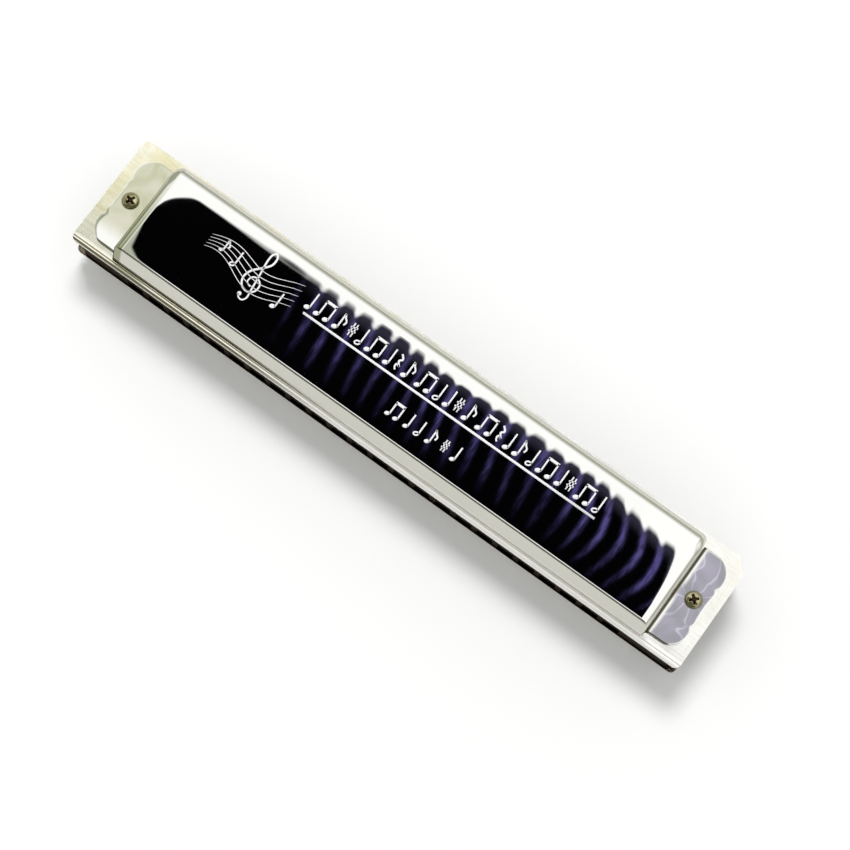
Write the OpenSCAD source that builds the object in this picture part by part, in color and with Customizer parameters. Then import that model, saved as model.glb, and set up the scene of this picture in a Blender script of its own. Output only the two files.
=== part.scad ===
// Tremolo harmonica: a moulded comb between two reed plates, with a pressed metal cover screwed on each side.
// X runs along the instrument from the bass end to the treble end, the mouth holes face -Y and +Z is up.
// The origin is under the middle of the instrument, on the surface that it lies on.
// The lower half mirrors the upper half, so each paired piece is drawn once, measured from the comb's mid plane.

/* [Body] */
// Length of the reed plates, which is the length of the whole instrument
body_l = 180; // [180:1:188]
// Depth of the reed plates from the mouth side to the back
body_d = 31; // [31:0.5:33]
// Thickness of the comb
comb_t = 9; // [8.4:0.2:10]
// Thickness of one reed plate
plate_t = 1.1; // [1:0.05:1.4]

/* [Covers] */
// Height of one cover above its reed plate
cover_h = 6.4; // [6:0.1:8]
// Thickness of the cover's sheet metal
sheet_t = 0.5; // [0.4:0.05:0.6]
// Length of the raised part of a cover
cover_l = 157.2; // [155:0.2:158]
// How far the front wall leans back from its foot to the crease
front_lean = 2.15; // [1.5:0.05:3]
// Radius of the rolled back edge
roll_r = 3.2; // [2:0.1:4]
// Radius of the rounded ends, seen from the front
end_r = 3; // [2:0.5:6]
// Height of the sound slot along the back
slot_h = 2.6; // [1.5:0.1:3]

/* [Reeds] */
// Number of columns of mouth holes
columns = 24; // [16:1:24]
// Distance from one column to the next
pitch = 6.2; // [6:0.05:6.2]
// Length of the longest reed tongue, at the bass end
bass_l = 19; // [16:0.5:20]
// Length of the shortest reed tongue, at the treble end
treble_l = 9.5; // [8:0.5:12]
// Width of the widest reed tongue, at its root
bass_w = 2.3; // [2:0.1:2.4]
// Width of the narrowest reed tongue, at its root
treble_w = 1.9; // [1.6:0.1:2]
// Thickness of a reed tongue
tongue_t = 0.2; // [0.15:0.01:0.3]

/* [Hidden] */
$fn = 48;
eps = 1;

// Heights from the comb's mid plane, and the mid plane's own height.
plate_z = comb_t / 2;
face_z = plate_z + plate_t;
mid_z = face_z + cover_h;

// Comb.
web_t = 1;
comb_inset_end = 1.4;
comb_inset_side = 0.4;
comb_corner_r = 2.2;
mouth_w = 4.6;

// Reed plates.
plate_corner_r = 1.5;
clip = 3;
lip_w = 1.35;
lip_r = 0.7;
groove_w = 0.35;
groove_depth = 0.3;

// Reeds. A tongue's slot starts at its root and is a little larger than the tongue all round.
slot_front_y = -11;
side_gap = 0.15;
tip_gap = 0.3;
root_gap = 0.05;
lift = 0.03;
tip_taper = 0.85;
chamber_end_gap = 1;
pad_l = 2.6;
pad_w = 3;
pad_t = 0.35;
rivet_r = 0.45;
rivet_head_r = 0.85;
rivet_head_t = 0.3;

// Reed plate screws: a front row and a back row, between columns.
plate_screw_r = 0.5;
plate_screw_head_r = 1;
plate_screw_head_t = 0.5;
plate_screw_l = 3.6;
plate_screw_rows = [-12.6, 12];
plate_screw_gaps = [-8, 0, 8];
driver_slot = [2 * plate_screw_head_r, 0.25, 0.4];

// Cover. Its raised part stands just behind the lip's groove and just short of the plate's back edge.
cover_front_gap = 0.1;
cover_back_gap = 1.25;
cover_front_y = lip_w + cover_front_gap - body_d / 2;
cover_back_y = body_d / 2 - cover_back_gap;
back_corner_r = 2.5;
front_corner_r = 0.6;
slot_half_l = cover_l / 2 - 9.2;
tab_half_w = 12.5;
tab_lobe_r = 5;
tab_end_x = body_l / 2 - 2.6;
tab_notch_y = 5.4;
tab_notch_r = 0.6;
tab_dip = 0.5;

// Cover screws.
screw_x = body_l / 2 - 6.4;
screw_y = 0.4;
screw_r = 1;
screw_hole_r = 1.2;
screw_l = 4.8;
head_r = 2.05;
head_t = 1.1;
head_dome_r = 3.2;
cross_w = 0.5;
cross_l = 2.4;
cross_depth = 0.6;

// Each column's place and its reed's size. The reeds get shorter in equal steps of ratio, as the notes do.
function column_x(i) = (i - (columns + 1) / 2) * pitch;
function step(i) = (i - 1) / (columns - 1);
function tongue_l(i) = bass_l * pow(treble_l / bass_l, step(i));
function tongue_w(i) = bass_w + (treble_w - bass_w) * step(i);
function slot_back_y(i) = slot_front_y + tongue_l(i) + tip_gap;

// Blow and draw columns take turns. A blow reed lies inside its plate with its root at the front,
// and a draw reed lies outside its plate with its root at the back.
function is_blow(i) = i % 2 == 1;
function root_y(i) = is_blow(i) ? slot_front_y : slot_back_y(i);

function two_digits(i) = i < 10 ? str("0", i) : str(i);
function reed_name(side, i) = str(side, "_reed_", two_digits(i));

// ---- placing ----

module upper() {
    translate([0, 0, mid_z]) children();
}

module lower() {
    translate([0, 0, mid_z]) mirror([0, 0, 1]) children();
}

module both() {
    upper() children();
    lower() children();
}

// Puts a child, drawn with its root at the origin and its tip towards +Y, at reed i's place on the plate.
// The child's z runs away from the plate's face that the reed is fixed to.
module at_reed(i) {
    if (is_blow(i))
        translate([column_x(i), root_y(i), plate_z]) mirror([0, 0, 1]) children();
    else
        translate([column_x(i), root_y(i), face_z]) mirror([0, 1, 0]) children();
}

module at_plate_screws() {
    for (gap = plate_screw_gaps)
        for (y = plate_screw_rows)
            translate([gap * pitch, y, face_z]) children();
}

module at_cover_screws() {
    for (side = [-1, 1])
        translate([side * screw_x, screw_y, face_z]) children();
}

// What is left of a square corner outside its rounding; the corner is at the origin and the part lies at -X, -Y.
module corner_waste(r) {
    difference() {
        translate([-r, -r]) square(r + eps);
        translate([-r, -r]) circle(r);
    }
}

// A rectangle from low to high with its two front corners and two back corners rounded.
module rounded_rect(low, high, front_r, back_r) {
    difference() {
        translate(low) square(high - low);
        translate(high) corner_waste(back_r);
        translate([low[0], high[1]]) mirror([1, 0]) corner_waste(back_r);
        translate([high[0], low[1]]) mirror([0, 1]) corner_waste(front_r);
        translate(low) rotate(180) corner_waste(front_r);
    }
}

// ---- comb ----

module comb() {
    half_l = body_l / 2 - comb_inset_end;
    half_d = body_d / 2 - comb_inset_side;
    color([0.13, 0.09, 0.08])
        difference() {
            translate([0, 0, mid_z - comb_t / 2])
                linear_extrude(comb_t)
                    rounded_rect([-half_l, -half_d], [half_l, half_d], comb_corner_r, comb_corner_r);
            both() comb_cuts(half_d);
        }
}

// The air channels and the screw holes in one face of the comb.
module comb_cuts(half_d) {
    for (i = [1:columns])
        translate([column_x(i) - mouth_w / 2, -half_d - eps, web_t / 2])
            cube([mouth_w, half_d + eps + slot_back_y(i) + chamber_end_gap, comb_t]);
    at_plate_screws() translate([0, 0, -plate_screw_l]) cylinder(h = plate_screw_l, r = plate_screw_r);
    at_cover_screws() translate([0, 0, sheet_t - screw_l]) cylinder(h = screw_l, r = screw_r);
}

// ---- reed plates ----

module reed_plate() {
    color([0.87, 0.85, 0.72])
        difference() {
            translate([0, 0, plate_z]) linear_extrude(plate_t) plate_outline();
            plate_lip_cuts();
            for (i = [1:columns]) reed_slot(i);
            reed_rivet_holes();
            at_plate_screws() plate_screw();
            at_cover_screws() translate([0, 0, -plate_t - eps]) cylinder(h = plate_t + 2 * eps, r = screw_hole_r);
        }
}

module plate_outline() {
    difference() {
        rounded_rect([-body_l / 2, -body_d / 2], [body_l / 2, body_d / 2], plate_corner_r, plate_corner_r);
        translate([body_l / 2, body_d / 2]) polygon([[eps, -clip - eps], [eps, eps], [-clip - eps, eps]]);
    }
}

// The groove behind the lip, and the rounding of the lip's outer edge.
module plate_lip_cuts() {
    front_y = -body_d / 2;
    translate([-body_l / 2 - eps, front_y + lip_w - groove_w, face_z - groove_depth])
        cube([body_l + 2 * eps, groove_w, groove_depth + eps]);
    translate([-body_l / 2 - eps, front_y, face_z])
        rotate([90, 0, 90])
            linear_extrude(body_l + 2 * eps)
                mirror([1, 0]) corner_waste(lip_r);
}

module reed_slot(i) {
    w = tongue_w(i) + 2 * side_gap;
    translate([column_x(i) - w / 2, slot_front_y - tip_gap, plate_z - eps])
        cube([w, tongue_l(i) + 2 * tip_gap, plate_t + 2 * eps]);
}

module reed_rivet_holes() {
    for (i = [1:columns])
        at_reed(i) translate([0, -pad_l / 2, -plate_t - eps]) cylinder(h = plate_t + 2 * eps, r = rivet_r);
}

// ---- reeds ----

// The part of a reed that swings, from its root to its tip.
module reed_tongue(i) {
    root_w = tongue_w(i);
    tip_w = root_w * tip_taper;
    color([0.82, 0.66, 0.34])
        at_reed(i)
            translate([0, 0, lift])
                linear_extrude(tongue_t)
                    polygon([
                        [-root_w / 2, 0], [root_w / 2, 0],
                        [tip_w / 2, tongue_l(i)], [-tip_w / 2, tongue_l(i)]
                    ]);
}

// The wide foot of each reed, riveted flat on its plate.
module reed_pads() {
    color([0.80, 0.64, 0.33])
        both()
            for (i = [1:columns])
                at_reed(i)
                    difference() {
                        translate([-pad_w / 2, -pad_l, 0]) cube([pad_w, pad_l - root_gap, pad_t]);
                        translate([0, -pad_l / 2, -eps]) cylinder(h = pad_t + 2 * eps, r = rivet_r);
                    }
}

module reed_rivets() {
    color([0.72, 0.55, 0.28])
        both()
            for (i = [1:columns])
                at_reed(i)
                    translate([0, -pad_l / 2, -plate_t]) {
                        cylinder(h = plate_t + pad_t, r = rivet_r);
                        translate([0, 0, plate_t + pad_t]) cylinder(h = rivet_head_t, r = rivet_head_r);
                    }
}

// ---- screws ----

// A countersunk screw, with the top of its head at the origin.
module plate_screw() {
    translate([0, 0, -plate_screw_head_t])
        cylinder(h = plate_screw_head_t, r1 = plate_screw_r, r2 = plate_screw_head_r);
    translate([0, 0, -plate_screw_l]) cylinder(h = plate_screw_l, r = plate_screw_r);
}

module reed_plate_screws() {
    color([0.75, 0.74, 0.70])
        both()
            at_plate_screws()
                difference() {
                    plate_screw();
                    cube(driver_slot, center = true);
                }
}

// A domed cross-head screw that stands on the cover's end tab.
module cover_screw() {
    translate([0, 0, sheet_t]) {
        difference() {
            intersection() {
                cylinder(h = head_t, r = head_r);
                translate([0, 0, head_t - head_dome_r]) sphere(head_dome_r);
            }
            for (turn = [45, 135])
                rotate(turn) translate([0, 0, head_t]) cube([cross_l, cross_w, 2 * cross_depth], center = true);
        }
        translate([0, 0, -screw_l]) cylinder(h = screw_l, r = screw_r);
    }
}

module cover_screws() {
    color([0.74, 0.70, 0.58]) at_cover_screws() cover_screw();
}

// ---- covers ----

module cover() {
    color([0.80, 0.81, 0.80])
        translate([0, 0, face_z])
            difference() {
                union() {
                    cover_block(0);
                    for (side = [0, 1]) mirror([side, 0, 0]) cover_tab();
                }
                cover_block(sheet_t);
                translate([-slot_half_l, cover_back_y - roll_r / 2, -eps])
                    cube([2 * slot_half_l, roll_r, slot_h + eps]);
                for (side = [-1, 1])
                    translate([side * screw_x, screw_y, -eps]) cylinder(h = sheet_t + 2 * eps, r = screw_hole_r);
            }
}

// The raised part as a solid: what its three outlines have in common. An inset above 0 gives the hollow inside it.
module cover_block(inset) {
    half_l = cover_l / 2 - inset;
    intersection() {
        translate([-half_l, 0, 0]) rotate([90, 0, 90]) linear_extrude(2 * half_l) cover_section(inset);
        translate([0, body_d / 2, 0]) rotate([90, 0, 0]) linear_extrude(body_d) cover_front_view(inset);
        translate([0, 0, inset > 0 ? -eps : 0]) linear_extrude(cover_h + eps) cover_plan(inset);
    }
}

// Cross-section: y to the right and z up.
module cover_section(inset) {
    foot_z = inset > 0 ? -eps : 0;
    top_z = cover_h - inset;
    back_y = cover_back_y - inset;
    r = roll_r - inset;
    wall_y = cover_front_y + inset * norm([front_lean, cover_h]) / cover_h;
    lean = front_lean / cover_h;
    polygon([
        [wall_y + lean * foot_z, foot_z], [back_y, foot_z], [back_y, top_z - r],
        [back_y - r, top_z - r], [back_y - r, top_z], [wall_y + lean * top_z, top_z]
    ]);
    translate([back_y - r, top_z - r]) circle(r);
}

// Outline seen from the front, with both ends rounded.
module cover_front_view(inset) {
    foot_z = inset > 0 ? -eps : 0;
    half_l = cover_l / 2 - inset;
    top_z = cover_h - inset;
    r = end_r - inset;
    translate([-half_l, foot_z]) square([2 * half_l, top_z - r - foot_z]);
    translate([r - half_l, foot_z]) square([2 * (half_l - r), top_z - foot_z]);
    for (side = [-1, 1]) translate([side * (half_l - r), top_z - r]) circle(r);
}

// Outline seen from above.
module cover_plan(inset) {
    half_l = cover_l / 2 - inset;
    rounded_rect([-half_l, cover_front_y + inset], [half_l, cover_back_y - inset],
                 front_corner_r, back_corner_r - inset);
}

// The flat tab at the treble end: a lobe at each corner, a notch beside it and a shallow dip in the middle.
module cover_tab() {
    inner_x = cover_l / 2 - sheet_t;
    lobe = [tab_end_x - tab_lobe_r, tab_half_w - tab_lobe_r];
    dip_r = (tab_notch_y * tab_notch_y + tab_dip * tab_dip) / (2 * tab_dip);
    linear_extrude(sheet_t)
        difference() {
            union() {
                translate([inner_x, -tab_half_w]) square([lobe[0] - inner_x, 2 * tab_half_w]);
                translate([inner_x, -lobe[1]]) square([tab_end_x - inner_x, 2 * lobe[1]]);
                for (side = [-1, 1]) translate([lobe[0], side * lobe[1]]) circle(tab_lobe_r);
            }
            translate([tab_end_x - tab_dip + dip_r, 0]) circle(dip_r, $fn = 96);
            for (side = [-1, 1]) translate([tab_end_x - tab_dip, side * tab_notch_y]) circle(tab_notch_r);
            for (side = [-1, 1]) translate([tab_end_x, side * tab_notch_y]) circle(tab_notch_r);
        }
}

// ---- the pieces ----

comb();
upper() reed_plate();  // upper_reed_plate
lower() reed_plate();  // lower_reed_plate
upper() cover();  // upper_cover
lower() cover();  // lower_cover
upper() cover_screws();  // upper_cover_screws
lower() cover_screws();  // lower_cover_screws
reed_plate_screws();
reed_pads();
reed_rivets();
for (i = [1:columns]) {
    upper() reed_tongue(i);
    lower() reed_tongue(i);
}
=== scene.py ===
"""Looks for the tremolo harmonica: covers, plates, comb, screws, reeds and the printed ornament.

Lengths are in millimetres in the row frame until a mesh is written, which is in metres.
"""

import math

import bmesh
import bpy
from mathutils import Matrix, Vector, noise


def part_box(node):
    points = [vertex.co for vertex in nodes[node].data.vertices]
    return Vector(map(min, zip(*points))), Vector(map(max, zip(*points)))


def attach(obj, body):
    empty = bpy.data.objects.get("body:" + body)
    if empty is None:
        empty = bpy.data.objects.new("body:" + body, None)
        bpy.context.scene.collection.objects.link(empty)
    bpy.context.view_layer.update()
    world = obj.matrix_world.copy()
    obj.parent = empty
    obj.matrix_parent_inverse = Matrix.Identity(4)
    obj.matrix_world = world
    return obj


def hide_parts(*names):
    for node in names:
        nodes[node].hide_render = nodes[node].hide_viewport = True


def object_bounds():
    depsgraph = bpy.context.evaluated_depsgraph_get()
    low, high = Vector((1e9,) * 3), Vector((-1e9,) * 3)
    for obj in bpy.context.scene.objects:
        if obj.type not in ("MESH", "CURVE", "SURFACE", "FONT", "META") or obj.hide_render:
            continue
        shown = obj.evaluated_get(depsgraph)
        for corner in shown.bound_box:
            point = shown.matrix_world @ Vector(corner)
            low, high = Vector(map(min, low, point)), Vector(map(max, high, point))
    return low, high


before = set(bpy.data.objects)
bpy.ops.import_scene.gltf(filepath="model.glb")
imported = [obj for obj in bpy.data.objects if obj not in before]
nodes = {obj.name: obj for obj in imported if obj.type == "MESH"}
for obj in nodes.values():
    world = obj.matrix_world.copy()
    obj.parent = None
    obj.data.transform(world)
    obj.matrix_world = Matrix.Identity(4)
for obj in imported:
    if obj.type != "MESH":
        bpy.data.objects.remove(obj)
cad_low, cad_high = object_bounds()

MM = 0.001

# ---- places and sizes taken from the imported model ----

whole_low, whole_high = cad_low / MM, cad_high / MM
plate_low, plate_high = (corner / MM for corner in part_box("upper_reed_plate"))
cover_low, cover_high = (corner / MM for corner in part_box("upper_cover"))
screws_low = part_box("upper_cover_screws")[0] / MM
mid_z = (whole_low.z + whole_high.z) / 2
plate_top = plate_high.z
plate_front = plate_low.y
plate_out = plate_top - mid_z
lower_seam_z = 2 * mid_z - plate_low.z
cover_h = cover_high.z - plate_top
front_y, back_y, tab_end_x = cover_low.y, cover_high.y, cover_high.x

# ---- the pressed cover's own sizes ----

raised_half_l = 78.6
end_r = 2.0
roll_r = 3.2
front_lean = 2.15
sheet_t = 0.5
slot_half_l = 69.4
slot_h = 2.6
crease_r = 0.3
corner_r = 0.6
back_corner_r = 2.0
tab_half_w = 12.5
tab_lobe_r = 5.0
tab_notch_y = 5.4
tab_notch_half_w = 0.62
tab_notch_depth = 0.75
tab_dip = 0.5

# ---- cover screws, and the groove along the front of a plate ----

screw_x = 83.6
screw_y = 0.4
head_r = 2.05
head_h = 1.1
dome_r = 3.2
recess_depth = 0.62
thread_root_r = 0.86
thread_crest_r = 1.0
thread_pitch = 0.5
groove_y = -14.325


def smooth(low, high, value):
    """0 below low, 1 above high and an even turn in between."""
    t = min(1.0, max(0.0, (value - low) / (high - low)))
    return t * t * (3 - 2 * t)


def mix(a, b, t):
    return a + (b - a) * t


# ---- materials ----


class Recipe:
    """One node material with a Principled shader, and short ways to add nodes to it."""

    def __init__(self, name, metallic=0.0):
        self.material = bpy.data.materials.new(name)
        self.material.use_nodes = True
        self.tree = self.material.node_tree
        self.shader = self.tree.nodes["Principled BSDF"]
        self.shader.inputs["Metallic"].default_value = metallic
        self.place = self.tree.nodes.new("ShaderNodeTexCoord").outputs["Object"]

    def link(self, source, target):
        self.tree.links.new(source, target)

    def set(self, socket, value):
        self.shader.inputs[socket].default_value = value

    def coords(self, stretch=(1, 1, 1), turn=(0, 0, 0), move=(0, 0, 0)):
        node = self.tree.nodes.new("ShaderNodeMapping")
        node.inputs["Scale"].default_value = stretch
        node.inputs["Rotation"].default_value = turn
        node.inputs["Location"].default_value = move
        self.link(self.place, node.inputs["Vector"])
        return node.outputs["Vector"]

    def noise(self, per_mm, detail=3.0, roughness=0.5, warp=0.0, **where):
        node = self.tree.nodes.new("ShaderNodeTexNoise")
        node.inputs["Scale"].default_value = per_mm / MM
        node.inputs["Detail"].default_value = detail
        node.inputs["Roughness"].default_value = roughness
        node.inputs["Distortion"].default_value = warp
        self.link(self.coords(**where), node.inputs["Vector"])
        return node.outputs["Fac"]

    def part(self, vector, name):
        """The X, Y or Z part of a vector socket."""
        split = self.tree.nodes.new("ShaderNodeSeparateXYZ")
        self.link(vector, split.inputs["Vector"])
        return split.outputs[name]

    def axis(self, name):
        """One coordinate of the place on the object, in millimetres."""
        return self.product(self.part(self.place, name), 1 / MM)

    def attribute(self, name):
        """A number that the mesh carries at each point."""
        node = self.tree.nodes.new("ShaderNodeAttribute")
        node.attribute_name = name
        return node.outputs["Fac"]

    def maths(self, operation, *values, clamp=False):
        node = self.tree.nodes.new("ShaderNodeMath")
        node.operation = operation
        node.use_clamp = clamp
        for socket, value in zip(node.inputs, values):
            if isinstance(value, (int, float)):
                socket.default_value = value
            else:
                self.link(value, socket)
        return node.outputs[0]

    def product(self, value, *factors):
        for factor in factors:
            value = self.maths("MULTIPLY", value, factor)
        return value

    def total(self, value, *others):
        for other in others:
            value = self.maths("ADD", value, other)
        return value

    def gap(self, value, centre):
        """How far a value is from a centre, on either side."""
        return self.maths("ABSOLUTE", self.maths("SUBTRACT", value, centre))

    def span(self, value, low, high, to_low=0.0, to_high=1.0):
        """A smooth turn from to_low at low to to_high at high, level outside them. Low may be the larger."""
        node = self.tree.nodes.new("ShaderNodeMapRange")
        node.interpolation_type = "SMOOTHSTEP"
        for name, number in (("From Min", low), ("From Max", high), ("To Min", to_low), ("To Max", to_high)):
            node.inputs[name].default_value = number
        self.link(value, node.inputs["Value"])
        return node.outputs["Result"]

    def blend(self, share, first, second):
        node = self.tree.nodes.new("ShaderNodeMix")
        node.data_type = "RGBA"
        self.link(share, node.inputs[0])
        colours = [socket for socket in node.inputs if socket.type == "RGBA"]
        for socket, value in zip(colours, (first, second)):
            if isinstance(value, tuple):
                socket.default_value = (*value, 1.0)
            else:
                self.link(value, socket)
        return [socket for socket in node.outputs if socket.type == "RGBA"][0]

    def bump(self, height, depth):
        node = self.tree.nodes.new("ShaderNodeBump")
        node.inputs["Strength"].default_value = 1.0
        node.inputs["Distance"].default_value = depth * MM
        self.link(height, node.inputs["Height"])
        return node.outputs["Normal"]

    def finish(self, colour, roughness, normal=None):
        self.link(colour, self.shader.inputs["Base Color"])
        self.link(roughness, self.shader.inputs["Roughness"])
        if normal is not None:
            self.link(normal, self.shader.inputs["Normal"])
        return self.material


def painted_tab_reflection(r, from_x, from_y, treble_side):
    """Painted reflection on the tabs: lilac with pale painted rays from the screw at the treble end, khaki at
    the bass end with a painted white highlight towards its front.
    """
    flow = r.noise(0.13, detail=2, roughness=0.45, warp=0.9, move=(0.004, 0.001, 0))
    cloudy = r.span(flow, 0.3, 0.7)
    angle = r.maths("ARCTAN2", from_y, from_x)
    wave = r.maths("MULTIPLY_ADD", flow, 6.0, r.product(angle, 4.5))
    rays = r.span(r.maths("ABSOLUTE", r.maths("SINE", wave)), 0.42, 0.0)
    treble = r.blend(cloudy, (0.32, 0.32, 0.35), (0.42, 0.40, 0.48))
    # Painted reflection: pale streaks about the screw, standing in for what the treble tab mirrors.
    treble = r.blend(r.product(rays, r.span(flow, 0.35, 0.6, 0.25, 0.8)), treble, (0.62, 0.62, 0.72))
    bass = r.blend(cloudy, (0.55, 0.56, 0.39), (0.68, 0.67, 0.54))
    # Painted highlight: the bass tab turns near white towards its front lobe.
    bass = r.blend(r.span(r.axis("Y"), -5.5, -10.5), bass, (0.93, 0.93, 0.90))
    return r.blend(treble_side, bass, treble)


def chrome():
    """Bright plating over pressed steel: a clear mirror with a faint haze, with painted reflections on the
    tabs and at the bass end, and painted shade round the screw heads and along the folds.
    """
    r = Recipe("cover_chrome", metallic=1.0)
    x, y = r.axis("X"), r.axis("Y")
    out_x = r.maths("ABSOLUTE", x)
    treble_side = r.span(x, -1, 1)
    haze = r.noise(0.05, detail=4, warp=0.6)
    marks = r.noise(0.9, detail=5, roughness=0.62, stretch=(0.25, 1, 1), turn=(0, 0, 0.5))
    colour = r.blend(r.span(haze, 0.35, 0.7), (0.93, 0.93, 0.91), (0.96, 0.955, 0.935))

    from_x = r.maths("SUBTRACT", out_x, screw_x)
    from_y = r.maths("SUBTRACT", y, screw_y)
    # Painted reflection: the tabs take the colours that they would mirror.
    colour = r.blend(r.attribute("tab_painted_reflection"), colour, painted_tab_reflection(r, from_x, from_y, treble_side))
    away = r.maths("SQRT", r.total(r.maths("POWER", from_x, 2), r.maths("POWER", from_y, 2)))
    # Painted shade: a dark ring on the tab round each screw head.
    painted_shade_round_head = r.span(away, head_r + 0.4, head_r + 0.05, 0.0, 0.7)
    colour = r.blend(painted_shade_round_head, colour, (0.17, 0.16, 0.09))

    # Painted reflection: khaki on the bass end's arc, where it would mirror the tab and the plate.
    bass_end_painted_reflection = r.product(
        r.span(x, -76.0, -76.5),
        r.span(y, 11, -4, 0.35, 1.0),
        r.span(out_x, raised_half_l + 0.1, raised_half_l),
    )
    colour = r.blend(bass_end_painted_reflection, colour, (0.50, 0.52, 0.38))
    # Painted shade: a dark line along the fold at the foot of each end wall, darker at the treble end.
    fold = r.product(
        r.span(out_x, raised_half_l - 0.16, raised_half_l - 0.02),
        r.span(out_x, raised_half_l + 0.9, raised_half_l + 0.5),
        r.span(r.gap(r.axis("Z"), mid_z), plate_out + 2.4, plate_out + 0.9),
    )
    colour = r.blend(fold, colour, r.blend(treble_side, (0.26, 0.25, 0.16), (0.13, 0.12, 0.06)))

    fine_marks = r.span(marks, 0.56, 0.76, 0.0, 0.008)
    return r.finish(colour, r.total(r.span(haze, 0.3, 0.75, 0.006, 0.014), fine_marks))


def nickel():
    """Thin nickel on brass: warmer where worn and scratched, with painted shade in the front groove, at the
    lower seam and on the lower plate's upward faces, and a painted highlight on the front lip.
    """
    r = Recipe("plate_nickel", metallic=1.0)
    x, y, z = r.axis("X"), r.axis("Y"), r.axis("Z")
    upper, lower = r.span(z, mid_z, mid_z + 1), r.span(z, mid_z, mid_z - 1)
    patches = r.noise(0.12, detail=4, roughness=0.5, warp=0.8)
    grain = r.noise(1.6, detail=6, roughness=0.65, stretch=(0.12, 1, 1), turn=(0, 0, 0.35))
    scratch = r.noise(2.4, detail=4, roughness=0.7, stretch=(1, 0.06, 1), turn=(0, 0, 0.9))

    wear = r.product(r.span(x, 60, -88, 0.18, 1.0), r.span(y, -14, -2, 0.45, 1.0))
    warm = r.maths("MULTIPLY", r.span(patches, 0.32, 0.66, 0.4, 0.9), wear, clamp=True)
    colour = r.blend(warm, (0.99, 0.985, 0.965), (0.90, 0.85, 0.54))
    colour = r.blend(r.span(scratch, 0.60, 0.70, 0.0, 0.6), colour, (0.86, 0.76, 0.50))

    # Painted highlight: the upper plate's front lip is painted near white and made far less metallic from x
    # -45 on.
    painted_lip_highlight = r.product(r.span(y, plate_front + 2.3, plate_front + 1.8), r.span(x, -45, -5), upper)
    colour = r.blend(painted_lip_highlight, colour, (0.97, 0.96, 0.92))
    r.link(r.maths("MULTIPLY_ADD", painted_lip_highlight, -0.8, 1.0), r.shader.inputs["Metallic"])

    # Painted shade: darker in the groove by the front edge and at the seam between the lower plate and the
    # comb, less so on the painted lip highlight.
    below_face = r.span(r.gap(z, mid_z), plate_out - 0.04, plate_out - 0.16)
    groove = r.product(r.span(r.gap(y, groove_y), 0.24, 0.14), below_face)
    seam = r.product(
        r.span(y, plate_front + 0.6, plate_front + 0.4),
        r.span(z, lower_seam_z - 0.7, lower_seam_z - 0.2),
        lower,
    )
    groove_and_seam_painted_shade = r.product(r.maths("MAXIMUM", groove, seam), r.maths("MULTIPLY_ADD", painted_lip_highlight, -0.75, 1.0))
    colour = r.blend(groove_and_seam_painted_shade, colour, (0.36, 0.30, 0.17))

    # Painted shade: the lower plate's upward faces, under the comb, are painted near black.
    normal = r.tree.nodes.new("ShaderNodeNewGeometry").outputs["Normal"]
    face_up = r.span(r.part(normal, "Z"), 0.3, 0.7)
    colour = r.blend(r.product(face_up, lower, 0.9), colour, (0.10, 0.075, 0.05))

    rough = r.total(r.span(grain, 0.3, 0.7, 0.09, 0.15), r.span(patches, 0.3, 0.7, 0.0, 0.05))
    rough = r.product(rough, r.span(y, plate_front + 1.5, plate_front + 2.5, 0.3, 1.0))
    return r.finish(colour, rough, r.bump(r.total(grain, r.product(patches, 1.5)), 0.0005))


def plastic():
    """Moulded black-brown plastic with a soft sheen."""
    r = Recipe("comb_plastic")
    flow = r.noise(0.35, detail=4, roughness=0.6, stretch=(0.4, 1, 1))
    pits = r.noise(7.0, detail=3, roughness=0.6)
    colour = r.blend(r.span(flow, 0.3, 0.7), (0.008, 0.004, 0.003), (0.026, 0.011, 0.007))
    r.set("Specular IOR Level", 0.02)
    return r.finish(colour, r.span(flow, 0.3, 0.7, 0.34, 0.5), r.bump(pits, 0.003))


def brass(name, light, dark, low, high):
    """Rolled brass, brushed along the tongue and a little tarnished, with a roughness from low to high."""
    r = Recipe(name, metallic=1.0)
    brushed = r.noise(5.0, detail=4, roughness=0.6, stretch=(1, 0.08, 1))
    tarnish = r.noise(0.3, detail=4, warp=0.8)
    share = r.maths("MULTIPLY_ADD", brushed, 0.5, r.span(tarnish, 0.35, 0.65, 0.0, 0.5))
    colour = r.blend(share, dark, light)
    return r.finish(colour, r.span(brushed, 0.25, 0.75, low, high), r.bump(brushed, 0.006))


def screw_steel():
    """Nickel-plated screws that have picked up a warm tint, with painted shade down in the cross."""
    r = Recipe("screw_steel", metallic=1.0)
    turned = r.noise(2.5, detail=4, roughness=0.6)
    patches = r.noise(0.8, detail=3)
    colour = r.blend(r.span(patches, 0.3, 0.7), (0.74, 0.69, 0.48), (0.52, 0.47, 0.26))
    # Painted shade: the cross recess is painted near black by its depth.
    colour = r.blend(r.span(r.attribute("recess"), 0.25, 0.8), colour, (0.05, 0.035, 0.02))
    return r.finish(colour, r.span(turned, 0.3, 0.7, 0.07, 0.16), r.bump(turned, 0.002))


def ink():
    """White etched marking with a faint dry speckle."""
    r = Recipe("etched_marking")
    speckle = r.noise(4.0, detail=4, roughness=0.7)
    colour = r.blend(r.span(speckle, 0.35, 0.6), (0.78, 0.78, 0.80), (0.95, 0.95, 0.96))
    return r.finish(colour, r.span(speckle, 0.3, 0.7, 0.45, 0.7), r.bump(speckle, 0.01))


cover_chrome = chrome()
plate_nickel = nickel()
comb_plastic = plastic()
reed_brass = brass("reed_brass", (0.90, 0.74, 0.38), (0.66, 0.47, 0.20), 0.16, 0.32)
rivet_brass = brass("rivet_brass", (0.86, 0.68, 0.34), (0.62, 0.43, 0.18), 0.22, 0.38)
screw_metal = screw_steel()
marking = ink()


def dress(node_name, material):
    mesh = nodes[node_name].data
    mesh.materials.clear()
    mesh.materials.append(material)


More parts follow.
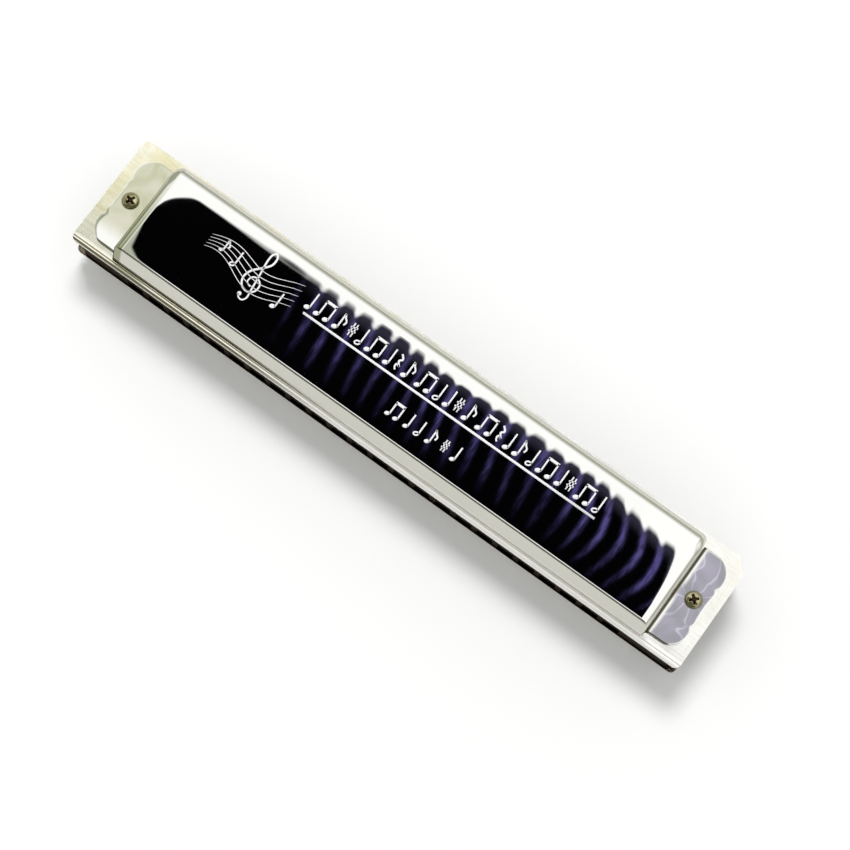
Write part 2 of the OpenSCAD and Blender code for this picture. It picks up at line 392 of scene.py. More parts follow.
for name in nodes:
    if "_reed_" in name and name[-2:].isdigit():
        dress(name, reed_brass)
for name in ("reed_pads", "reed_rivets"):
    dress(name, rivet_brass)
dress("reed_plate_screws", screw_metal)

# ---- pieces ----


def new_piece(name, vertices, faces, material, replaced=()):
    """A smooth mesh piece from points in millimetres, riding on the case."""
    mesh = bpy.data.meshes.new(name)
    mesh.from_pydata([(x * MM, y * MM, z * MM) for x, y, z in vertices], [], faces)
    mesh.validate()
    mesh.materials.append(material)
    for polygon in mesh.polygons:
        polygon.use_smooth = True
    piece = bpy.data.objects.new(name, mesh)
    bpy.context.scene.collection.objects.link(piece)
    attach(piece, "case")
    if replaced:
        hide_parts(*replaced)
    return piece


def tidy_normals(piece):
    work = bmesh.new()
    work.from_mesh(piece.data)
    bmesh.ops.recalc_face_normals(work, faces=work.faces)
    work.to_mesh(piece.data)
    work.free()


def point_numbers(piece, name, values):
    """One number for each point, which a material reads by its name."""
    piece.data.attributes.new(name, "FLOAT", "POINT").data.foreach_set("value", values)


def above_or_below(z, side):
    """A height on the upper half, or its mirror image on the lower half when side is -1."""
    return z if side > 0 else 2 * mid_z - z


# ---- covers ----

arc_steps = 9
arc_turn = math.radians(86)
square_turn = math.radians(90)
# Below the arc: how far down to the tab, how far out, and how far the feet have moved to the tab's corners.
fall_steps = ((0.35, 0.0, 0.25), (0.7, 0.01, 0.5), (0.86, 0.04, 0.65), (0.95, 0.14, 0.8), (1.0, 0.4, 1.0))


def end_stations():
    """Steps from the start of an end's arc to the tab's fold: how far out the top has come, its height,
    and where the front and back feet stand."""
    steps = []
    for k in range(1, arc_steps + 1):
        share = k / arc_steps
        angle = arc_turn * share
        x = raised_half_l - end_r + end_r * math.sin(angle)
        height = cover_h - end_r + end_r * math.cos(angle)
        turn = square_turn * smooth(0.55, 1.0, share)
        back_turn = square_turn * smooth(0.1, 1.0, share)
        foot_x = min(x, raised_half_l - corner_r + corner_r * math.sin(turn))
        foot_y = front_y + corner_r * (1 - math.cos(turn))
        rear_x = min(x, raised_half_l - back_corner_r + back_corner_r * math.sin(back_turn))
        rear_y = back_y - back_corner_r * (1 - math.cos(back_turn))
        steps.append((x, height, foot_x, foot_y, rear_x, rear_y))
    low = steps[-1][1]
    for fall, out, side in fall_steps:
        x = raised_half_l + out
        foot_y = mix(front_y + corner_r, -tab_half_w, side)
        rear_y = mix(back_y - back_corner_r, tab_half_w, side)
        steps.append((x, mix(low, sheet_t, fall), x, foot_y, x, rear_y))
    return steps


def tab_edge(y):
    """How far out the tab reaches at this y: round lobes, two notches and a shallow dip between them."""
    side = abs(y)
    lobe_y = tab_half_w - tab_lobe_r
    if side > lobe_y:
        return tab_end_x - tab_lobe_r + math.sqrt(max(0.0, tab_lobe_r**2 - (side - lobe_y) ** 2))
    dip = tab_dip * (1 - (side / tab_notch_y) ** 2) if side < tab_notch_y else 0.0
    notch = tab_notch_depth * math.exp(-(((side - tab_notch_y) / tab_notch_half_w) ** 2))
    return tab_end_x - dip - notch


def ripple(x, y):
    """The top's slight unevenness, in millimetres, which bends what it mirrors."""
    wide = noise.noise(Vector((x / 21, y / 13, 3.7)))
    short = noise.noise(Vector((x / 7.5, y / 11, 9.1)))
    away_from_end = smooth(raised_half_l - 1, raised_half_l - 7, abs(x))
    away_from_wall = smooth(-11.4, -9.5, y) * smooth(11.0, 9.0, y)
    return (0.006 * wide + 0.0016 * short) * away_from_end * away_from_wall


def tab_ripple(x, y):
    """Dents that the screw has drawn into the tab around itself."""
    away = math.hypot(x - screw_x, y - screw_y)
    swirl = noise.noise(Vector((x / 3.2, y / 4.4, 1.9)))
    rings = 0.010 * math.sin(away * 1.25) * math.exp(-away / 9)
    return rings + 0.007 * swirl - 0.05 * math.exp(-((away / 2.6) ** 2))


def tab_painted_reflection(x, y):
    """How much painted reflection lies here: a tab but for its rim and, at the treble end, a strip by the
    fold.
    """
    treble = x > 0
    x = abs(x)
    if x < raised_half_l + 0.1:
        return 0.0
    rim = min(tab_edge(y) - x, tab_half_w - abs(y)) if abs(y) < tab_half_w else 0.0
    if not treble:
        return smooth(0.0, 0.3, rim)
    bulge = 1.0 - 0.8 * math.exp(-(((y - screw_y) / 3.0) ** 2))
    strip = smooth(raised_half_l + 0.45 + bulge * 0.5, raised_half_l + 0.8 + bulge * 0.7, x)
    return smooth(0.15, 0.5, rim) * strip


# Points of a ring as shares: up the front wall, across the top, and down the back wall below its roll.
wall_steps = [0.0, 0.3, 0.7, 0.92, 1.0]
top_steps = [0.0, 0.012, 0.04] + [0.08 + 0.84 * k / 38 for k in range(39)] + [0.96, 0.988]
slot_share = slot_h / (cover_h - roll_r)
back_steps = [0.9, slot_share, 0.45, 0.0]
roll_count = 9
# A point of a ring that is on the top, and how many points there are from the slot's upper edge to the foot.
top_point = 20
slot_points = 3


def cross_section(step, inset):
    """One ring of points across the cover, front foot to back foot. An inset gives the sheet's inner face."""
    x, height, foot_x, foot_y, rear_x, rear_y = step
    top = max(height - inset, 0.0)
    lean = front_lean / cover_h
    start_y = foot_y + inset * 1.05
    end_y = rear_y - inset
    radius_y = max(min(roll_r, 0.62 * height + 0.15), 0.3) - inset * 0.6
    radius_z = min(roll_r - inset, 0.5 * top) if top > 0.2 else 0.5 * top
    crease = min(crease_r + inset * 0.3, 0.45 * max(top, 0.02))
    wall_top = top - crease
    ring = [(foot_x, start_y + lean * wall_top * share, wall_top * share) for share in wall_steps]
    corner_y = start_y + lean * top
    first_y, last_y = corner_y + crease, end_y - radius_y
    for t in (0.25, 0.5, 0.75):
        y = (1 - t) ** 2 * (start_y + lean * wall_top) + 2 * t * (1 - t) * corner_y + t * t * first_y
        z = (1 - t) ** 2 * wall_top + 2 * t * (1 - t) * top + t * t * top
        ring.append((foot_x, y, z))
    for share in top_steps:
        y = mix(first_y, last_y, share)
        here = mix(foot_x, x, smooth(0.0, 2.4, y - first_y))
        here = mix(here, rear_x, smooth(3.0, 0.0, last_y - y))
        ring.append((here, y, top))
    low = top - radius_z
    for k in range(roll_count + 1):
        angle = square_turn * (1 - k / roll_count)
        ring.append((rear_x, last_y + radius_y * math.cos(angle), low + radius_z * math.sin(angle)))
    return ring + [(rear_x, end_y, low * share) for share in back_steps]


def tab_section(share, inset, fold_x):
    """One ring across the tab, from the fold at share 0 to its outer edge at share 1."""
    base = cross_section((fold_x, sheet_t, fold_x, -tab_half_w, fold_x, tab_half_w), 0.0)
    inner_share = (tab_half_w - 0.12) / tab_half_w
    side = tab_half_w - 0.02
    ring = []
    for _, y, z in base:
        edge = tab_edge(max(-side, min(side, y)))
        if inset:
            ring.append((mix(fold_x, edge - 0.02, share), y * inner_share, 0.0))
            continue
        x = mix(fold_x, edge, share)
        z = min(z, sheet_t)
        rim = min(edge - x, tab_half_w - abs(y))
        lift = tab_ripple(x, y) * smooth(0.0, 0.2, share) - 0.012 * smooth(1.0, 0.0, rim)
        ring.append((x, y, z + lift * (z / sheet_t) ** 4))
    return ring


def drawn_in(step, inset):
    """An end's step for the sheet's inner face. Down by the fold the sheet is a little thinner."""
    x, height, foot_x, foot_y, rear_x, rear_y = step
    pull = mix(inset, 0.45, smooth(2.2, 0.6, height)) * smooth(raised_half_l - end_r, raised_half_l, x)
    return (x - pull, height, foot_x - pull, foot_y, rear_x - pull, rear_y)


def cover_rings(inset):
    """Rings along the whole cover, from the bass tab's edge to the treble tab's."""
    ends = end_stations()
    fold_x = ends[-1][0]
    shares = [0.06, 0.16, 0.28, 0.4, 0.52, 0.64, 0.76, 0.86, 0.94, 0.985, 1.0]
    right = [cross_section(drawn_in(step, inset) if inset else step, inset) for step in ends]
    right += [tab_section(share, inset, fold_x) for share in shares]
    left = [[(-x, y, z) for x, y, z in ring] for ring in reversed(right)]

    # Even stations, one at each end of the slot and none close to it, and one to hold the start of each arc.
    flat_half = raised_half_l - end_r
    count = 64
    stations = [flat_half * (2 * k / count - 1) for k in range(count + 1)]
    stations += [-slot_half_l, slot_half_l, 0.2 - flat_half, flat_half - 0.2]
    centre = []
    for x in sorted(stations):
        if abs(x) != slot_half_l and abs(abs(x) - slot_half_l) <= 0.8:
            continue
        top = cover_h - inset
        ring = cross_section((x, cover_h, x, front_y, x, back_y), inset)
        centre.append([(px, py, pz + ripple(px, py) if abs(pz - top) < 1e-6 else pz) for px, py, pz in ring])
    return left + centre + right


def skin(rings):
    """Faces between neighbouring rings, but for the sound slot in the back wall."""
    across = len(rings[0])
    faces = []
    for i, (ring, following) in enumerate(zip(rings, rings[1:])):
        centre_x = (ring[top_point][0] + following[top_point][0]) / 2
        for j in range(across - 1):
            if j >= across - slot_points and abs(centre_x) < slot_half_l:
                continue
            a = i * across + j
            faces.append((a, a + across, a + across + 1, a + 1))
    return faces


def open_edges(faces):
    """The edges that only one face uses, in the direction in which it uses them."""
    used = {}
    for face in faces:
        for start, end in zip(face, face[1:] + face[:1]):
            used.setdefault(frozenset((start, end)), []).append((start, end))
    return [uses[0] for uses in used.values() if len(uses) == 1]


def make_cover(name, side, node):
    """Side is 1 for the upper cover and -1 for its mirror image underneath."""
    outer, inner = cover_rings(0.0), cover_rings(sheet_t)
    points = [point for ring in outer + inner for point in ring]
    vertices = [(x, y, above_or_below(plate_top + z, side)) for x, y, z in points]
    count = len(points) // 2
    faces = skin(outer)
    shell = faces + [tuple(reversed([v + count for v in face])) for face in faces]
    shell += [(b, a, a + count, b + count) for a, b in open_edges(faces)]
    piece = new_piece(name, vertices, shell, cover_chrome, (node,))
    # Each point's share of the tabs' painted reflection.
    point_numbers(piece, "tab_painted_reflection", [tab_painted_reflection(x, y) for x, y, _ in vertices])
    tidy_normals(piece)
    rim = piece.modifiers.new("rim", "BEVEL")
    rim.width = 0.1 * MM
    rim.segments = 2
    rim.limit_method = "ANGLE"
    rim.angle_limit = math.radians(50)
    finer = piece.modifiers.new("finer", "SUBSURF")
    finer.levels = finer.render_levels = 1


make_cover("upper_cover_shell", 1, "upper_cover")
make_cover("lower_cover_shell", -1, "lower_cover")

# ---- plates and comb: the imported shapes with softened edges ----


def softened(node, name, material, width):
    """A node's own mesh with its flat parts merged and a small round on every sharp edge."""
    mesh = nodes[node].data.copy()
    mesh.name = name
    work = bmesh.new()
    work.from_mesh(mesh)
    bmesh.ops.remove_doubles(work, verts=work.verts, dist=0.002 * MM)
    bmesh.ops.dissolve_limit(work, angle_limit=math.radians(0.4), verts=work.verts, edges=work.edges)
    for edge in work.edges:
        edge.smooth = len(edge.link_faces) == 2 and edge.calc_face_angle(0) < math.radians(28)
    for face in work.faces:
        face.smooth = True
    work.to_mesh(mesh)
    work.free()
    if "custom_normal" in mesh.attributes:
        mesh.attributes.remove(mesh.attributes["custom_normal"])
    mesh.materials.clear()
    mesh.materials.append(material)
    piece = bpy.data.objects.new(name, mesh)
    bpy.context.scene.collection.objects.link(piece)
    edge = piece.modifiers.new("edge", "BEVEL")
    edge.width = width * MM
    edge.segments = 2
    edge.limit_method = "ANGLE"
    edge.angle_limit = math.radians(35)
    edge.harden_normals = True
    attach(piece, "case")
    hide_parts(node)


softened("upper_reed_plate", "upper_reed_plate_plated", plate_nickel, 0.14)
softened("lower_reed_plate", "lower_reed_plate_plated", plate_nickel, 0.14)
softened("comb", "comb_moulded", comb_plastic, 0.12)

# ---- cover screws ----

around = 72
edge_r = 1.86
head_rings = [0.14 * k for k in range(1, 14)] + [1.9, 1.97, 2.02, head_r]
shank_r = 1.02
tip_r = 0.3
bass_turn, treble_turn = 0.35, 0.80


def recess(u, v):
    """How deep the cross recess is at this place on a head, 0 to 1."""
    arm = smooth(0.36, 0.20, abs(u)) * smooth(1.35, 1.12, abs(v))
    other = smooth(0.36, 0.20, abs(v)) * smooth(1.35, 1.12, abs(u))
    return max(arm, other, smooth(0.75, 0.3, math.hypot(u, v)))


def screw_profile(length):
    """Rings from the head's middle to the tip: radius, height over the tab, and 1 where the cross may cut."""
    rims = []
    for radius in head_rings:
        height = head_h - (dome_r - math.sqrt(dome_r**2 - radius**2))
        if radius > edge_r:
            height -= 0.12 * smooth(edge_r, head_r, radius) ** 2
        rims.append((radius, height, 1))
    rims.append((head_r + 0.02, rims[-1][1] - 0.12, 0))
    rims += [(head_r, 0.06, 0), (head_r - 0.06, 0.0, 0), (shank_r, 0.0, 0)]
    z = -0.2
    while z > thread_pitch - length:
        rims += [(thread_root_r, z, 0), (thread_crest_r, z - 0.22, 0), (thread_root_r, z - 0.44, 0)]
        z -= thread_pitch
    rims.append((tip_r, 0.05 - length, 0))
    return rims


def turned_screw(turn, length, first):
    """A screw's points about its own axis, its faces counted from first, and how recessed each point is."""
    rims = screw_profile(length)
    points, hollows = [(0.0, 0.0, head_h - recess_depth)], [0.6]
    for radius, height, cut in rims:
        for k in range(around):
            angle = 2 * math.pi * k / around
            share = cut * recess(radius * math.cos(angle + turn), radius * math.sin(angle + turn))
            points.append((radius * math.cos(angle), radius * math.sin(angle), height - recess_depth * share))
            hollows.append(share)
    points.append((0.0, 0.0, -length))
    hollows.append(0.0)
    tip = first + len(points) - 1
    last_ring = (len(rims) - 1) * around
    faces = []
    for k in range(around):
        here, there = first + 1 + k, first + 1 + (k + 1) % around
        faces.append((first, here, there))
        for a, b in zip(range(here, here + last_ring, around), range(there, there + last_ring, around)):
            faces.append((a, a + around, b + around, b))
        faces.append((here + last_ring, tip, there + last_ring))
    return points, faces, hollows


def make_screws(name, side, node):
    vertices, faces, hollows = [], [], []
    tab_z = plate_top + sheet_t
    for place_x, turn in ((-screw_x, bass_turn), (screw_x, treble_turn)):
        points, its_faces, its_hollows = turned_screw(turn, tab_z - screws_low.z, len(vertices))
        vertices += [(place_x + x, screw_y + y, above_or_below(tab_z + z, side)) for x, y, z in points]
        faces += its_faces
        hollows += its_hollows
    piece = new_piece(name, vertices, faces, screw_metal, (node,))
    point_numbers(piece, "recess", hollows)
    tidy_normals(piece)


make_screws("upper_cover_screws_turned", 1, "upper_cover_screws")
make_screws("lower_cover_screws_turned", -1, "lower_cover_screws")

# ---- the printed ornament: notes on staves ----

ink_low, ink_high = cover_high.z - 0.02, cover_high.z + 0.025
pen = 0.42
head_turn = 0.45


def swung(x, y, u, v, turn):
    """The place u along and v across an axis that is turned about (x, y)."""
    return (x + u * math.cos(turn) - v * math.sin(turn), y + u * math.sin(turn) + v * math.cos(turn))


def spline_point(p0, p1, p2, p3, t):
    """The place at t between p1 and p2 on a smooth curve through all four."""
    place = []
    for a, b, c, d in zip(p0, p1, p2, p3):
        bend = (2 * a - 5 * b + 4 * c - d) * t * t + (3 * b - a - 3 * c + d) * t**3
        place.append(0.5 * (2 * b + (c - a) * t + bend))
    return tuple(place)


def curve_through(points, steps=6):
    """A smooth line through the points. Two points stay a straight line."""
    if len(points) == 2:
        (ax, ay), (bx, by) = points
        return [(mix(ax, bx, k / 4), mix(ay, by, k / 4)) for k in range(5)]
    padded = [points[0]] + list(points) + [points[-1]]
    line = []
    for k in range(1, len(padded) - 2):
        line += [spline_point(*padded[k - 1 : k + 3], n / steps) for n in range(steps)]
    return line + [tuple(points[-1])]


class Print:
    """Thin flat shapes laid on the upper cover."""

    def __init__(self):
        self.vertices, self.faces = [], []

    def slab(self, left, right):
        """A strip between two matching lines of points."""
        start, count = len(self.vertices), len(left)
        for line, z in ((left, ink_high), (right, ink_high), (left, ink_low), (right, ink_low)):
            self.vertices += [(x, y, z) for x, y in line]
        for k in range(count - 1):
            a, b, c, d = (start + n * count + k for n in range(4))
            self.faces += [(a, b, b + 1, a + 1), (c, c + 1, d + 1, d)]
            self.faces += [(a, a + 1, c + 1, c), (b, d, d + 1, b + 1)]
        a, b, c, d = (start + n * count for n in range(4))
        self.faces += [(a, c, d, b)]
        a, b, c, d = (start + n * count + count - 1 for n in range(4))
        self.faces += [(a, b, d, c)]

    def stroke(self, points, width, tips=1.0):
        """A pen line through the points. With tips below 1 it narrows towards both ends."""
        line = curve_through(points)
        left, right = [], []
        for k, (x, y) in enumerate(line):
            ahead, behind = line[min(k + 1, len(line) - 1)], line[max(k - 1, 0)]
            dx, dy = ahead[0] - behind[0], ahead[1] - behind[1]
            size = math.hypot(dx, dy) or 1.0
            t = k / (len(line) - 1)
            half = width / 2 * mix(tips, 1.0, math.sin(math.pi * t) ** 0.6 if 0 < t < 1 else 0.0)
            left.append((x - dy / size * half, y + dx / size * half))
            right.append((x + dy / size * half, y - dx / size * half))
        self.slab(left, right)

    def drawn(self, x, y, scale, width, *points, tips=1.0):
        """A stroke through points that are counted from (x, y) in a note's own units."""
        self.stroke([(x + u * scale, y + v * scale) for u, v in points], width, tips)

    def dot(self, x, y, rx, ry, turn=0.0):
        left, right = [], []
        for k in range(13):
            t = -math.cos(math.pi * k / 12) * 0.9995
            h = math.sqrt(max(0.0, 1 - t * t))
            left.append(swung(x, y, t * rx, h * ry, turn))
            right.append(swung(x, y, t * rx, -h * ry, turn))
        self.slab(left, right)

    def ring(self, x, y, rx, ry, width, turn):
        angles = [2 * math.pi * k / 24 for k in range(25)]
        self.stroke([swung(x, y, rx * math.cos(a), ry * math.sin(a), turn) for a in angles], width)


def note_head(p, x, y, s):
    p.dot(x + 0.75 * s, y + 0.62 * s, 0.78 * s, 0.56 * s, head_turn)


def stem(p, x, y, s, top=4.9):
    p.drawn(x, y, s, pen, (1.38, 0.8), (1.38, top))


def quarter(p, x, y, s):
    note_head(p, x, y, s)
    stem(p, x, y, s)


def half_note(p, x, y, s):
    p.ring(x + 0.75 * s, y + 0.62 * s, 0.68 * s, 0.46 * s, pen * 0.9, head_turn)
    stem(p, x, y, s)


def eighth(p, x, y, s):
    quarter(p, x, y, s)
    p.drawn(x, y, s, pen, (1.4, 4.8), (1.9, 3.9), (2.6, 3.1), (2.4, 2.1))


def pair(p, x, y, s):
    for left in (x, x + 2.7 * s):
        note_head(p, left, y, s)
        stem(p, left, y, s, 4.7)
    p.drawn(x, y, s, pen * 1.7, (1.2, 4.6), (4.28, 4.6))


def sharp(p, x, y, s):
    for u in (0.55, 1.35):
        p.drawn(x, y, s, pen * 0.8, (u, 0.7), (u, 4.3))
    for v in (1.8, 2.9):
        p.drawn(x, y, s, pen, (0.05, v), (1.85, v + 0.45))


def rest(p, x, y, s):
    p.drawn(x, y, s, pen * 1.2, (0.3, 4.7), (1.2, 3.6), (0.6, 2.8), (1.4, 1.6))
    p.drawn(x, y, s, pen, (1.4, 1.6), (0.5, 1.9), (0.5, 1.1), (0.95, 0.5))


def clef(p, x, y, s):
    """A treble clef with its curl about (x, y)."""
    curl = [(0.10, -0.75), (-0.75, -0.25), (-0.55, 0.75), (0.35, 1.05), (1.25, 0.35), (1.15, -0.95)]
    belly = [(0.15, -1.65), (-1.15, -1.25), (-1.75, 0.05), (-1.30, 1.55), (-0.15, 2.85), (0.85, 4.15)]
    crown = [(0.95, 5.45), (0.45, 6.15), (-0.10, 5.45)]
    back_stem = [(-0.10, 3.95), (0.20, 1.95), (0.55, -0.85), (0.75, -2.45)]
    tail = [(0.30, -3.25), (-0.45, -3.15), (-0.80, -2.65)]
    p.drawn(x, y, s, 0.34 * s, *curl, *belly, *crown, *back_stem, *tail, tips=0.5)
    p.dot(x - 0.62 * s, y - 2.62 * s, 0.36 * s, 0.36 * s)


def note_row(shapes, x, y, scale, gap):
    """Shapes side by side, each given with the width that it takes."""
    row = Print()
    for shape, width in shapes:
        shape(row, x, y, scale)
        x += width * scale + gap
    return row


def waving_staff(left, right, top, line_gap):
    """Five lines that spread from a narrow start and wave along their length."""
    made = Print()
    for row in range(5):
        y = top - line_gap * row
        points = []
        for k in range(13):
            t = k / 12
            spread = mix(0.55, 1.0, smooth(0, 0.5, t))
            wave = 1.6 * math.sin(2.2 * math.pi * t + 0.5) + 1.2
            points.append((mix(left, right, t), y * spread + wave))
        made.stroke(points, 0.17, 0.3)
    return made


staff = waving_staff(-61.0, -35.0, 4.4, 1.55)
clef(staff, -46.0, 0.2, 1.5)
quarter(staff, -39.4, -2.2, 0.95)
half_note(staff, -53.4, 0.6, 0.9)
eighth(staff, -57.6, 2.0, 0.75)

row_left, row_l = -32.6, 87.0
shape_w = {quarter: 2.6, half_note: 2.7, eighth: 3.9, pair: 5.3, sharp: 2.7, rest: 2.5}
order = [quarter, pair, eighth, sharp, half_note, pair, quarter, rest]
order += [eighth, pair, half_note, quarter, sharp, eighth, pair, rest]
order += [quarter, eighth, half_note, pair, quarter, sharp, pair, half_note]
shapes = [(shape, shape_w[shape]) for shape in order]
gap = (row_l - sum(width for _, width in shapes)) / (len(shapes) - 1)
main_row = note_row(shapes, row_left, 2.5, 1.0, gap)

shapes = [(pair, 5.3), (quarter, 2.8), (half_note, 2.8), (eighth, 3.9), (sharp, 2.9), (quarter, 2.6)]
small_row = note_row(shapes, -1.6, -7.2, 0.86, 0.75)

rule = Print()
rule.stroke([(-31.7, 1.45), (53.6, 1.45)], 0.6)

ornaments = {
    "ornament_staff": staff,
    "ornament_notes": main_row,
    "ornament_small_notes": small_row,
    "ornament_rule": rule,
}
for name, made in ornaments.items():
    tidy_normals(new_piece(name, made.vertices, made.faces, marking))

# ---- floor, light, and what the chrome mirrors ----

floor_half_l = 6000
room_r = 4000
room_rings, room_sides = 16, 48
panel_height = 400
dark_olive = (0.13, 0.13, 0.10)


def staged_mesh(name, points, faces, material):
    """A mesh that belongs to the set and not to the instrument."""
    mesh = bpy.data.meshes.new(name)
    mesh.from_pydata([(x * MM, y * MM, z * MM) for x, y, z in points], [], faces)
    mesh.materials.append(material)
    made = bpy.data.objects.new(name, mesh)
    bpy.context.scene.collection.objects.link(made)
    return made


def staged_sheet(name, low, high, z, material):
    """A level sheet between two corners."""
    corners = [(low[0], low[1], z), (high[0], low[1], z), (high[0], high[1], z), (low[0], high[1], z)]
    return staged_mesh(name, corners, [(0, 1, 2, 3)], material)


def only_mirrored(made):
    """Seen in reflections only, so it neither lights the scene nor stands in a view's way."""
    made.visible_camera = False
    made.visible_diffuse = False
    made.visible_shadow = False
    made.visible_transmission = False
    made.visible_volume_scatter = False


def matt(name, colour):
    r = Recipe(name)
    r.set("Base Color", (*colour, 1))
    r.set("Roughness", 0.9)
    r.set("Specular IOR Level", 0.0)
    return r.material


def glow(name):
    """An emission material whose recipe still offers its coordinate helpers."""
    r = Recipe(name)
    r.tree.nodes.remove(r.shader)
    lamp = r.tree.nodes.new("ShaderNodeEmission")
    r.link(lamp.outputs[0], r.tree.nodes["Material Output"].inputs["Surface"])
    r.lamp = lamp
    return r


corner = (floor_half_l, floor_half_l)
opposite = (-floor_half_l, -floor_half_l)
floor = staged_sheet("floor", opposite, corner, -0.06, matt("floor_paper", (0.93, 0.93, 0.925)))
floor.visible_glossy = False

# What the metal mirrors: a khaki table, a pale room that darkens towards the horizon, and a ceiling panel.
table = staged_sheet("khaki_table", opposite, corner, -0.03, matt("khaki_table", (0.60, 0.595, 0.54)))
only_mirrored(table)


def room_glow():
    """Pale overhead and khaki at the horizon and the bass side, with a dark band low down in front."""
    r = glow("pale_room")
    across, along, height = (r.product(r.axis(name), 1 / room_r) for name in ("X", "Y", "Z"))
    colour = r.blend(r.span(height, 0.30, 0.84), (0.40, 0.405, 0.325), (1.06, 1.06, 1.05))
    front_low = r.product(r.span(along, -0.45, -0.7), r.span(height, 0.62, 0.5), r.span(height, 0.06, 0.16))
    colour = r.blend(front_low, colour, dark_olive)
    colour = r.blend(r.span(across, -0.3, -0.7, 0.0, 0.8), colour, (0.40, 0.41, 0.32))
    r.link(colour, r.lamp.inputs["Color"])
    return r.material


points, faces = [], []
for k in range(room_rings + 1):
    lift = math.pi / 2 * k / room_rings
    for n in range(room_sides):
        turn = 2 * math.pi * n / room_sides
        ring_r = room_r * math.cos(lift)
        points.append((ring_r * math.cos(turn), ring_r * math.sin(turn), room_r * math.sin(lift)))
for k in range(room_rings):
    low, high = k * room_sides, (k + 1) * room_sides
    for n in range(room_sides):
        m = (n + 1) % room_sides
        faces.append((low + n, low + m, high + m, high + n))
only_mirrored(staged_mesh("pale_room", points, faces, room_glow()))

# In the main view the cover's flat top mirrors the panel from x -184 to 84 and y 55 to 91, so those places on
# it give the dark reflection its outline. A narrow slot before them stays bright for the plate's front edge.
# Soft violet folds cross the dark part, and bend at the treble end.


def fold_wave(r, cx, cy):
    """0 to 1 and back across each fold."""
    wander = r.noise(0.012, detail=2, roughness=0.5, move=(0.3, 0, 0))
    bend = r.product(r.maths("POWER", r.maths("SUBTRACT", cy, 76), 2), r.span(cx, 5, 75, 0.0, 0.022))
    phase = r.total(r.maths("MULTIPLY_ADD", cy, 0.22, cx), bend, r.product(wander, 18.0))
    return r.maths("MULTIPLY_ADD", r.maths("SINE", r.product(phase, 0.72)), 0.5, 0.5)


def back_reach(r, cx, cy, wave, folded):
    """How far a place is inside the scalloped back outline, which falls away towards both ends."""
    back_line = r.span(cx, -118, -60, 88.5, 90.2)
    return r.total(
        r.maths("SUBTRACT", back_line, cy),
        r.product(r.maths("POWER", wave, 3.0), folded, -2.2),
        r.product(r.span(cx, 30, 72), -5.0),
        r.product(r.maths("POWER", r.span(cx, 72, 82.8), 2), -40.0),
        r.product(r.span(cx, -166, -186), -10.0),
        r.product(r.maths("POWER", r.span(cx, -174, -184), 2), -9.0),
    )


def inside_outline(r, cx, cy, reach):
    """1 on the dark part of the panel and 0 on the bright part, with soft edges."""
    back = r.span(r.maths("DIVIDE", reach, r.span(cx, -130, -90, 0.7, 1.3)), -1.0, 1.0)
    near_line = r.span(cy, 50, 84, 177.5, 184)
    near_left = r.span(r.total(cx, near_line), -0.8, 0.8)
    far_line = r.maths("MULTIPLY_ADD", r.maths("SUBTRACT", cy, 58), 17.0, 179)
    far_left = r.product(r.span(r.total(cx, far_line), -4, 4), r.span(cx, -206, -208))
    left = r.maths("MAXIMUM", near_left, far_left)
    front_corner = r.span(r.maths("MULTIPLY_ADD", cy, 1.9, r.total(cx, 70.5)), -1.5, 1.5)
    front = r.span(cy, 50.4, 51.2)
    right = r.span(cx, 82.5, 80.5)
    return r.product(back, left, right, front_corner, front)


def dark_part(r, cx, cy, wave, folded, reach):
    """Near black, with violet along the folds and a grey glow just inside the back outline."""
    soft = r.noise(0.05, detail=3, roughness=0.5)
    fine = r.noise(0.9, detail=4, roughness=0.6, stretch=(1, 0.2, 1))
    strength = r.product(
        r.maths("POWER", wave, 5.0),
        folded,
        r.span(cy, 54, 70),
        r.span(cy, 60, 95, 0.35, 1.0),
        r.span(soft, 0.3, 0.7, 0.3, 1.2),
        r.span(fine, 0.3, 0.7, 0.35, 1.7),
        r.span(cx, 20, 72, 1.0, 1.9),
    )
    dark = r.blend(strength, (0.0008, 0.0008, 0.0012), (0.085, 0.072, 0.235))
    edge_glow = r.product(r.span(reach, 7, 1), folded, 0.5)
    return r.blend(edge_glow, dark, (0.055, 0.052, 0.085))


def bright_part(r, cx, cy):
    """White, and khaki at the bass end where the plate and the tab mirror it."""
    khaki = r.product(r.span(cx, -160, -176), r.span(cy, 84, 60))
    between = r.product(r.span(cx, -182.5, -184), r.span(cx, -206, -204))
    khaki = r.product(khaki, r.maths("SUBTRACT", 1.0, between))
    return r.blend(khaki, (1.05, 1.05, 1.04), (0.46, 0.49, 0.40))


def panel_glow():
    r = glow("dark_ceiling")
    cx, cy = r.axis("X"), r.axis("Y")
    wave = fold_wave(r, cx, cy)
    folded = r.span(cx, -116, -92)
    reach = back_reach(r, cx, cy, wave, folded)
    dark = dark_part(r, cx, cy, wave, folded, reach)
    colour = r.blend(inside_outline(r, cx, cy, reach), bright_part(r, cx, cy), dark)
    colour = r.blend(r.span(cy, 38, 33), colour, dark_olive)
    r.link(colour, r.lamp.inputs["Color"])
    return r.material


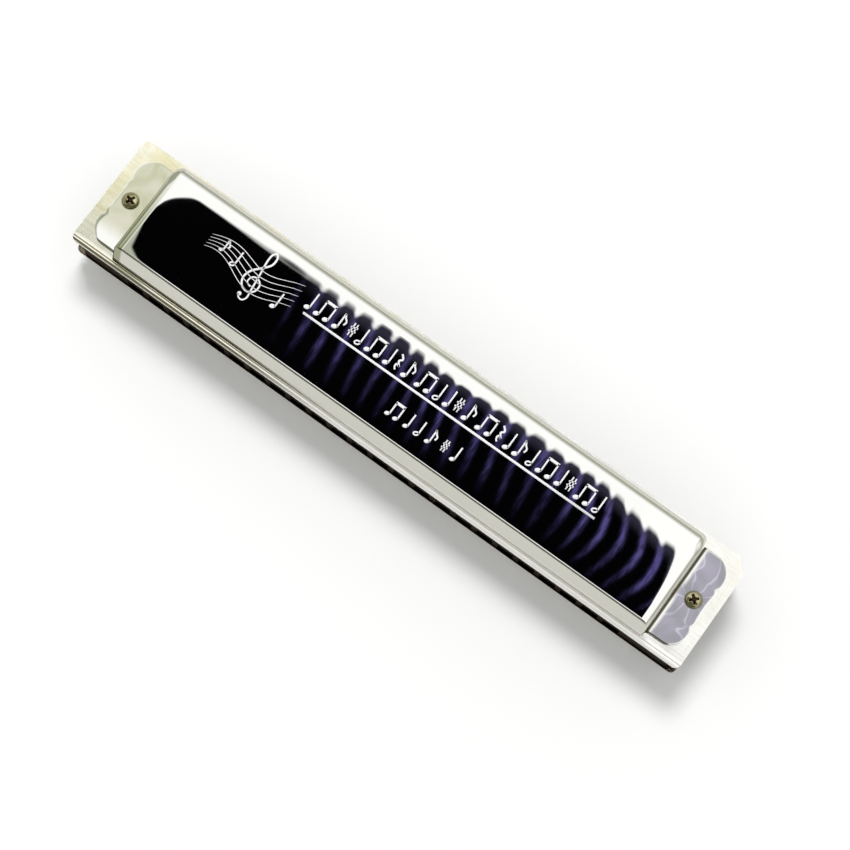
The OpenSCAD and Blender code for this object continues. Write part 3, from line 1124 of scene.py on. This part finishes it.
panel_low, panel_high = (-560, -1400), (640, 112)
only_mirrored(staged_sheet("dark_ceiling", panel_low, panel_high, plate_top + panel_height, panel_glow()))

world = bpy.data.worlds.new("studio")
bpy.context.scene.world = world
world.use_nodes = True
world.node_tree.nodes["Background"].inputs["Color"].default_value = (1.0, 1.0, 1.0, 1)
world.node_tree.nodes["Background"].inputs["Strength"].default_value = 0.64


def softbox(name, place, width, energy):
    """A round lamp that faces the instrument and that the metal doesn't mirror."""
    lamp = bpy.data.lights.new(name, "AREA")
    lamp.shape = "DISK"
    lamp.size = width * MM
    lamp.energy = energy
    made = bpy.data.objects.new(name, lamp)
    bpy.context.scene.collection.objects.link(made)
    made.location = Vector(place) * MM
    aim = Vector((0, 0, mid_z)) * MM - made.location
    made.rotation_mode = "QUATERNION"
    made.rotation_quaternion = aim.to_track_quat("-Z", "Y")
    made.visible_glossy = False


softbox("key", (-420, 720, 1700), 700, 20)

# ---- camera ----

azimuth, elevation, roll = math.radians(32.36), math.radians(78.02), math.radians(3.56)
aim_offset = (7.35, -2.57, 5.6)
distance = 576.6
lens = 101.65

aim_at = (cad_low + cad_high) / 2 + Vector(aim_offset) * MM
level = Vector((math.cos(azimuth), math.sin(azimuth), 0))
forward = Vector((math.sin(azimuth), -math.cos(azimuth), 0))
back = forward * math.cos(elevation) + Vector((0, 0, math.sin(elevation)))
upward = back.cross(level)
right = level * math.cos(roll) + upward * math.sin(roll)
up = upward * math.cos(roll) - level * math.sin(roll)
place = aim_at + back * distance * MM
camera = bpy.data.objects.new("camera", bpy.data.cameras.new("camera"))
bpy.context.scene.collection.objects.link(camera)
camera.data.sensor_width = 36
camera.data.lens = lens
camera.data.clip_start = 0.01
camera.data.clip_end = 50
camera.matrix_world = Matrix(
    (
        (right.x, up.x, back.x, place.x),
        (right.y, up.y, back.y, place.y),
        (right.z, up.z, back.z, place.z),
        (0, 0, 0, 1),
    )
)
bpy.context.scene.camera = camera
bpy.context.scene.view_settings.view_transform = "Standard"
